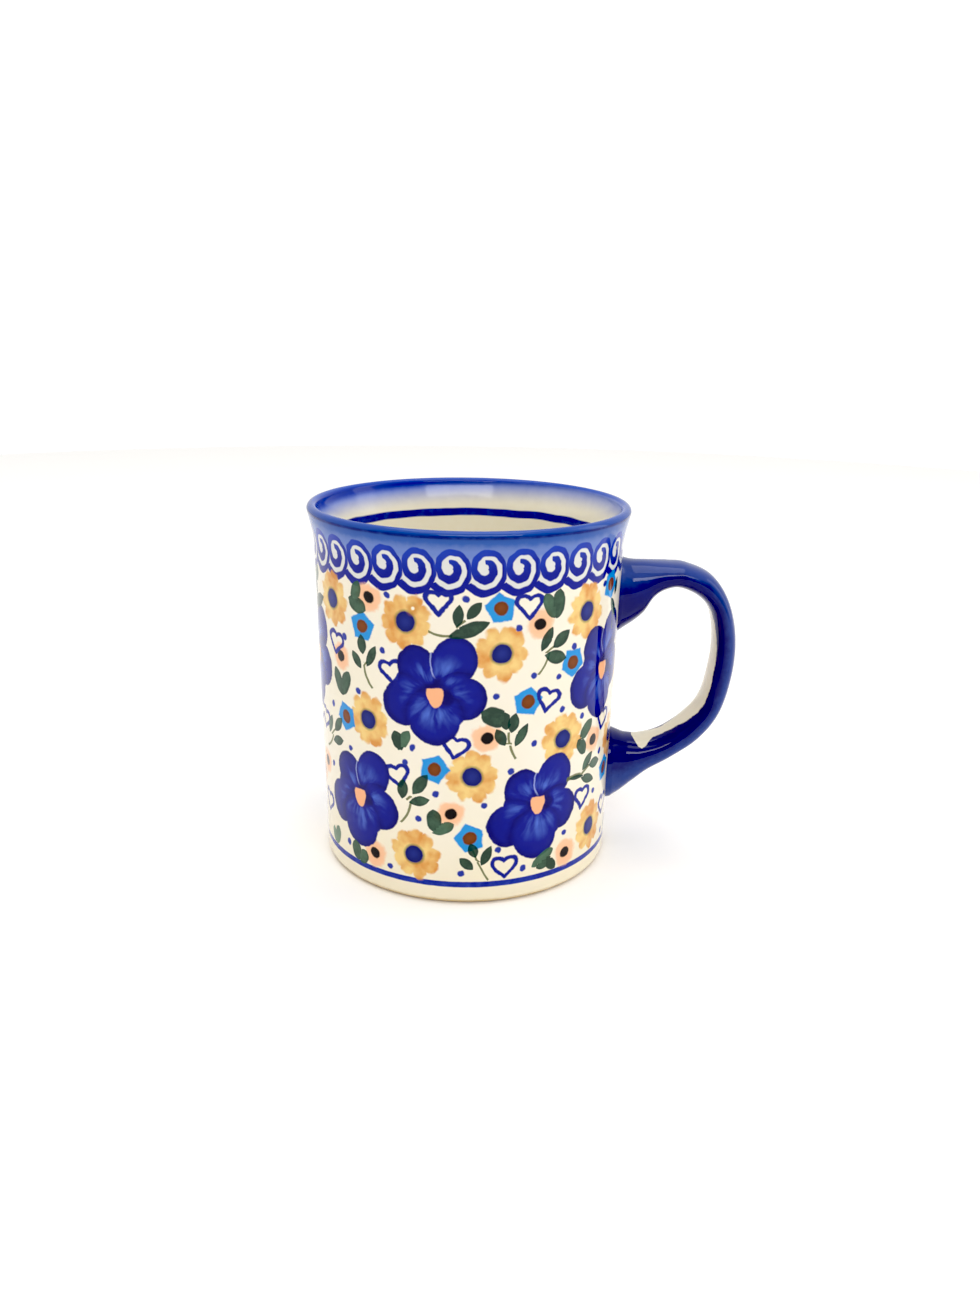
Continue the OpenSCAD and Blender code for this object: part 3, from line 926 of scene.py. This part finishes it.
def place_motifs(mesh, name, motifs):
    """Stores, for every patch of the wall, its own place on the nearest motif of one kind.

    A motif is (degrees, height, lean, half width, half height, extra): places on it are measured
    along its own lean, in units of its half sizes, and extra is carried along unchanged.
    """
    points = corner_points(mesh)
    around = np.degrees(np.arctan2(points[:, 0], -points[:, 1]))
    height = points[:, 2] / MM
    of_corner = read(mesh.loops, "vertex_index")
    totals = read(mesh.polygons, "loop_total")
    starts = read(mesh.polygons, "loop_start")
    table = np.array(motifs, dtype=float)

    def local(corner_around, corner_height, rows):
        across = (corner_around - rows[..., 0] + 180) % 360 - 180
        across = across * MM_PER_DEGREE
        up = corner_height - rows[..., 1]
        lean = np.radians(rows[..., 2])
        x = (across * np.cos(lean) + up * np.sin(lean)) / rows[..., 3]
        y = (up * np.cos(lean) - across * np.sin(lean)) / rows[..., 4]
        return x, y

    first = of_corner[starts]
    opposite = of_corner[starts + totals // 2]
    gap = (around[opposite] - around[first] + 180) % 360 - 180
    mid_around = around[first] + gap / 2
    mid_height = (height[first] + height[opposite]) / 2
    x, y = local(mid_around[:, None], mid_height[:, None], table[None, :, :])
    nearest = np.argmin(x * x + y * y, axis=1)
    rows = table[np.repeat(nearest, totals)]
    x, y = local(around[of_corner], height[of_corner], rows)
    stored = mesh.attributes.new(name, "FLOAT_VECTOR", "CORNER")
    stored.data.foreach_set("vector", np.stack([x, y, rows[:, 5]], axis=1).astype(np.float32).ravel())


def between(root_angle, root_height, tip_angle, tip_height):
    """Middle, lean and half length of a line across the wall."""
    across = (tip_angle - root_angle) * MM_PER_DEGREE
    up = tip_height - root_height
    middle = ((root_angle + tip_angle) / 2, (root_height + tip_height) / 2)
    return (*middle, math.degrees(math.atan2(up, across)), math.hypot(across, up) / 2)


def seeded(index):
    """A share from 0 to 1 that differs from one motif to the next."""
    return (index * 0.618034 + 0.31) % 1


def paint_places(mesh):
    """Gives the outer coat the places of every painted motif."""
    def upright(places):
        return [(a, z, 0, 1, 1, seeded(i)) for i, (a, z) in enumerate(places)]

    place_motifs(mesh, "pansy", pansy_places())
    place_motifs(mesh, "daisy", upright(all_round(DAISIES, SIDE_DAISIES)))
    place_motifs(mesh, "round_flower", upright(all_round(ROUNDS, SIDE_ROUNDS)))
    place_motifs(mesh, "star_flower", upright(all_round(STARS, SIDE_STARS)))
    place_motifs(mesh, "dot", upright(all_round(DOTS, SIDE_DOTS)))
    hearts = all_round(HEARTS, SIDE_HEARTS)
    place_motifs(mesh, "heart", [(a, z, lean, 1, 1, 0) for a, z, lean in hearts])
    for name, leaves in (("leaf", all_round(LEAVES)),
                         ("broad_leaf", all_round(BROAD_LEAVES, SIDE_BROAD_LEAVES))):
        rows = [(*between(*leaf[:4]), leaf[4] / 2, leaf[5]) for leaf in leaves]
        place_motifs(mesh, name, rows)
    stems = all_round(STEMS)
    place_motifs(mesh, "stem", [(*between(*stem[:4]), stem[5] / 0.5, stem[4]) for stem in stems])


# Stations along the handle's clay, from the upper joint to the lower one:
# outer edge x and z, inner edge x and z, and how much wider the strap is there, in millimetres.
STATIONS_MM = (
    (39.0, 79.6, 39.0, 62.8, 2.6), (42.0, 79.7, 43.4, 64.6, 2.2), (45.5, 79.7, 46.0, 66.8, 1.6),
    (49.0, 79.6, 48.4, 70.8, 1.0), (52.6, 79.5, 51.4, 73.0, 0.5), (57.2, 79.0, 55.4, 73.6, 0.2),
    (63.8, 76.0, 60.8, 71.2, 0.0), (68.4, 69.4, 64.4, 66.8, 0.0), (70.8, 60.0, 65.9, 58.8, 0.0),
    (70.6, 49.6, 65.4, 50.2, 0.0), (68.0, 39.0, 63.4, 41.8, 0.0), (62.8, 31.4, 59.0, 36.4, 0.0),
    (55.6, 26.0, 53.2, 32.2, 0.2), (49.4, 22.2, 47.6, 30.6, 0.8), (45.4, 18.8, 43.8, 30.8, 1.6),
    (42.0, 16.4, 41.4, 31.2, 2.2), (39.0, 15.4, 39.0, 31.2, 2.6))
DRAWN_WALL_MM = 39.0
HANDLE_SQUARENESS = 2.3
# How far the bare inner face reaches to each side, in degrees round the strap, by station
BARE_REACH = (
    (5.6, 0), (6.3, 12), (7, 24), (7.7, 33), (8.5, 39), (9.4, 45), (10.4, 43), (11, 36),
    (11.9, 22), (12.4, 26), (12.7, 40), (12.9, 53), (13.1, 57), (13.3, 50), (13.45, 32), (13.6, 0))


# How fast the bare face's edge passes, and how far the glaze creeps in over it
MM_PER_STRAP_DEGREE = 0.11
CREEP_MM = 0.6
NOT_BARE = -30


def squared_off(wave):
    """A sine or cosine that makes an oval fuller at its corners."""
    return np.sign(wave) * np.abs(wave) ** (2 / HANDLE_SQUARENESS)


def handle_coat_mesh(sizes, shape, rings=160, sides=72):
    """Closed coat over the handle and its joints: out along the glaze, back along the clay."""
    stations = np.array(STATIONS_MM)
    spans = len(stations) - 1
    angles = np.linspace(0, math.tau, sides, endpoint=False)

    def smooth(t):
        i = min(spans - 1, int(t))
        t = t - i
        a, b, c, d = (stations[max(0, min(spans, j))] for j in (i - 1, i, i + 1, i + 2))
        return b + 0.5 * t * ((c - a) + t * ((2 * a - 5 * b + 4 * c - d) + t * (3 * (b - c) + d - a)))

    def ring(t, glaze):
        station = smooth(t)
        mid = (station[:2] + station[2:4]) / 2 * MM
        half = (station[:2] - station[2:4]) / 2 * MM
        away = (mid[0] - DRAWN_WALL_MM * MM) / sizes.slip_run
        grow = sizes.slip_swell * max(0, 1 - away) ** 2 + glaze
        bulge_out = squared_off(np.cos(angles))
        bulge_side = squared_off(np.sin(angles))
        reach = half * (1 + grow / np.linalg.norm(half))
        x = mid[0] + reach[0] * bulge_out
        z = mid[1] + reach[1] * bulge_out
        y = (sizes.strap_width / 2 + station[4] * MM / 2 + grow) * bulge_side
        if t in (0, spans):
            x = np.array([math.sqrt(shape.outside(h, 0) ** 2 - w * w) for h, w in zip(z, y)])
        return np.stack([x, y, z], axis=1)

    steps = [spans * i / rings for i in range(rings + 1)]
    rows = [ring(t, sizes.glaze) for t in steps] + [ring(t, 0) for t in reversed(steps)]
    tube_rows = len(rows)
    faces = []
    for i in range(tube_rows):
        for j in range(sides):
            k, m = (i + 1) % tube_rows, (j + 1) % sides
            faces.append((i * sides + j, i * sides + m, k * sides + m, k * sides + j))
    mesh = bpy.data.meshes.new("cobalt_coat")
    mesh.from_pydata(np.concatenate(rows).tolist(), [], faces)
    mesh.update()
    mesh.polygons.foreach_set("use_smooth", [True] * len(faces))
    places, reaches = zip(*BARE_REACH)
    strap = []
    for t in steps + steps[::-1]:
        limit = np.interp(t, places, reaches, left=NOT_BARE, right=NOT_BARE)
        for degrees in np.degrees(angles):
            bare = (limit - abs(degrees - 180)) * MM_PER_STRAP_DEGREE - CREEP_MM
            strap.append((bare, math.cos(math.radians(degrees)), t))
    stored = mesh.attributes.new("strap", "FLOAT_VECTOR", "POINT")
    stored.data.foreach_set("vector", np.array(strap, dtype=np.float32).ravel())
    return mesh


# ---------------------------------------------------------------- studio

SENSOR_MM = 36
LENS_MM = 30.68
CAMERA_DISTANCE = 0.3
AIM_HEIGHT = 49.8 * MM
# Degrees: how far the camera looks down, then how far it is turned off its aim
CAMERA_RISE = 18.19
CAMERA_PAN = -1.14
CAMERA_TILT = 0.75
CAMERA_ROLL = -0.6
# Name, place, target, width and height, watts and colour of each lamp
SOFTBOXES = (
    ("window", (0.15, -0.92, 0.78), (0, 0, 0.05), (1.1, 0.26), 4.8, (1, 0.99, 0.98)),
    ("overhead", (0, 0.1, 1.3), (0, 0, 0), (1.1, 1.1), 6, (1, 1, 1)),
    ("side_light", (0.8, 0.1, 0.35), (0, 0, 0.05), (0.3, 0.7), 0.9, (0.97, 0.98, 1)))


# ---------------------------------------------------------------- operators

def sizes_and_colours():
    scene = bpy.context.scene
    return scene.mug_sizes, scene.mug_colours


def settle(piece, slot, *nodes):
    """Ties a finished piece to the frame."""
    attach(piece, "root")
    if nodes:
        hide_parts(*nodes)


class MUG_OT_clay(bpy.types.Operator):
    """Give the fired clay and the joining slip their finish"""
    bl_idname = "mug.clay"
    bl_label = "Clay and slip"

    def execute(self, context):
        _, colours = sizes_and_colours()
        clay = bare_stoneware("stoneware", tuple(colours.clay))
        slip = bare_stoneware("joining_slip", tuple(colours.slip))
        for name, material in (("cup_body", clay), ("handle", clay),
                               ("upper_slip_joint", slip), ("lower_slip_joint", slip)):
            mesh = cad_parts[name].data
            mesh.materials.clear()
            mesh.materials.append(material)
        return {"FINISHED"}


class MUG_OT_painted_coat(bpy.types.Operator):
    """Throw the outside glaze and paint its flowers and borders"""
    bl_idname = "mug.painted_coat"
    bl_label = "Painted outside glaze"

    def execute(self, context):
        sizes, colours = sizes_and_colours()
        shape = Shape(sizes)
        outside = shape.outer_line(sizes.glaze, 118)
        coat = throw("painted_coat", outside, shape.outer_line(0, 12), 360, painted_glaze(colours))
        paint_places(coat.data)
        settle(coat, "painted_glaze", "outer_glaze")
        return {"FINISHED"}


class MUG_OT_cream_liner(bpy.types.Operator):
    """Throw the inside glaze and the glaze under the foot"""
    bl_idname = "mug.cream_liner"
    bl_label = "Cream inside and foot glaze"

    def execute(self, context):
        sizes, colours = sizes_and_colours()
        shape = Shape(sizes)
        material = cream_glaze(colours)
        inside = shape.inner_line(sizes.glaze, 40)
        liner = throw("cream_liner", inside, shape.inner_line(0, 10), 240, material)
        settle(liner, "cream_glaze", "inner_glaze")
        hollow = shape.hollow_line(sizes.glaze)
        base = throw("base_coat", hollow, shape.hollow_line(0), 180, material)
        settle(base, "cream_glaze", "base_glaze")
        return {"FINISHED"}


class MUG_OT_handle_coat(bpy.types.Operator):
    """Coat the handle in cobalt glaze"""
    bl_idname = "mug.handle_coat"
    bl_label = "Cobalt handle glaze"

    def execute(self, context):
        sizes, colours = sizes_and_colours()
        mesh = handle_coat_mesh(sizes, Shape(sizes))
        coat = finished_piece("cobalt_coat", mesh, cobalt_glaze(colours))
        settle(coat, "cobalt_glaze", "handle_glaze")
        return {"FINISHED"}


class MUG_OT_studio(bpy.types.Operator):
    """Set up the white floor, the soft lights and the camera"""
    bl_idname = "mug.studio"
    bl_label = "Studio"

    def execute(self, context):
        add_floor()
        add_world()
        for softbox in SOFTBOXES:
            add_softbox(*softbox)
        add_camera()
        context.scene.view_settings.view_transform = "Standard"
        context.scene.view_settings.look = "None"
        develop(context.scene.view_settings)
        return {"FINISHED"}


def develop(view):
    """Deepens the blacks a little and lifts the whites."""
    view.use_curve_mapping = True
    view.curve_mapping.black_level = (BLACK_LEVEL,) * 3
    view.curve_mapping.white_level = (WHITE_LEVEL,) * 3
    view.curve_mapping.update()


def add_floor():
    """A round of pale paper, which ends where the light still keeps it as white as the air."""
    mesh = bpy.data.meshes.new("floor")
    turns = np.linspace(0, math.tau, 96, endpoint=False)
    ring = [(FLOOR_RADIUS * math.cos(a), FLOOR_RADIUS * math.sin(a), 0) for a in turns]
    mesh.from_pydata(ring, [], [range(len(ring))])
    finish = Finish("floor_paper")
    grain = finish.noise(finish.millimetres(), 0.6, 3.0)
    shade = finish.mix(0.5 + grain * 0.5, tint(253, 252, 250), tint(251, 249, 246))
    paper = finish.surface(shade, 0.9, 1.2, Emission_Color=(1, 0.99, 0.97), Emission_Strength=0.06)
    mesh.materials.append(paper)
    linked("floor", mesh)


def add_world():
    """Soft white air all round, dimmer towards the front so that the glaze keeps its depth."""
    world = bpy.data.worlds.new("studio_air")
    world.use_nodes = True
    world.node_tree.nodes.clear()
    net = Net(world.node_tree)
    direction = net.node("ShaderNodeTexCoord").outputs["Generated"]
    _, y, z = net.split(direction)
    front = net.over(-y, 0.35, 0.12) * net.under(z, 0.62, 0.06)
    seen = Value(net, net.node("ShaderNodeLightPath").outputs["Is Camera Ray"])
    strength = 0.8 + seen * 0.24 - front * (1 - seen) * 0.7
    air = net.node("ShaderNodeBackground", inputs={"Color": (1, 0.998, 0.992), "Strength": strength})
    net.node("ShaderNodeOutputWorld", inputs={"Surface": air.outputs[0]})
    bpy.context.scene.world = world


def add_softbox(name, place, target, size, power, shade):
    light = bpy.data.lights.new(name, "AREA")
    light.shape = "RECTANGLE"
    light.size, light.size_y = size
    light.energy = power
    light.color = shade
    lamp = linked(name, light)
    lamp.visible_camera = False
    lamp.location = place
    lamp.rotation_euler = (Vector(target) - Vector(place)).to_track_quat("-Z", "Y").to_euler()


def add_camera():
    """Camera in front of the mug, a little above it and turned slightly off it."""
    lens = bpy.data.cameras.new("camera")
    lens.sensor_width = SENSOR_MM
    lens.lens = LENS_MM
    lens.clip_start = 0.01
    rise = math.radians(CAMERA_RISE)
    aim = Vector((0, 0, AIM_HEIGHT))
    place = Vector((0, -CAMERA_DISTANCE * math.cos(rise),
                    AIM_HEIGHT + CAMERA_DISTANCE * math.sin(rise)))
    ahead = (aim - place).normalized()
    right = ahead.cross(Vector((0, 0, 1))).normalized()
    up = right.cross(ahead)
    pan = Matrix.Rotation(math.radians(CAMERA_PAN), 3, up)
    ahead, right = pan @ ahead, pan @ right
    tilt = Matrix.Rotation(math.radians(CAMERA_TILT), 3, right)
    ahead, up = tilt @ ahead, tilt @ up
    roll = Matrix.Rotation(math.radians(CAMERA_ROLL), 3, ahead)
    right, up = roll @ right, roll @ up
    facing = Matrix((right, up, -ahead)).transposed().to_4x4()
    camera = linked("camera", lens)
    camera.matrix_world = Matrix.Translation(place) @ facing
    bpy.context.scene.camera = camera


class MUG_PT_panel(bpy.types.Panel):
    """Sizes, colours and making steps of the mug"""
    bl_idname = "MUG_PT_panel"
    bl_label = "Pansy mug"
    bl_space_type = "VIEW_3D"
    bl_region_type = "UI"
    bl_category = "Mug"

    def draw(self, context):
        for step in STEPS:
            self.layout.operator(step.bl_idname)
        for group in (context.scene.mug_sizes, context.scene.mug_colours):
            box = self.layout.box()
            for name in group.__annotations__:
                box.prop(group, name)


STEPS = (MUG_OT_studio, MUG_OT_clay, MUG_OT_painted_coat, MUG_OT_cream_liner, MUG_OT_handle_coat)
CLASSES = (MugSizes, MugColours, *STEPS, MUG_PT_panel)


def register():
    for item in CLASSES:
        bpy.utils.register_class(item)
    bpy.types.Scene.mug_sizes = bpy.props.PointerProperty(type=MugSizes)
    bpy.types.Scene.mug_colours = bpy.props.PointerProperty(type=MugColours)


def unregister():
    del bpy.types.Scene.mug_colours
    del bpy.types.Scene.mug_sizes
    for item in reversed(CLASSES):
        bpy.utils.unregister_class(item)


def plain(box):
    return [[round(float(part), 6) for part in corner] for corner in box]


def main():
    register()
    bpy.ops.mug.studio()
    bpy.ops.mug.clay()
    bpy.ops.mug.painted_coat()
    bpy.ops.mug.cream_liner()
    bpy.ops.mug.handle_coat()


if __name__ == "__main__":
    main()
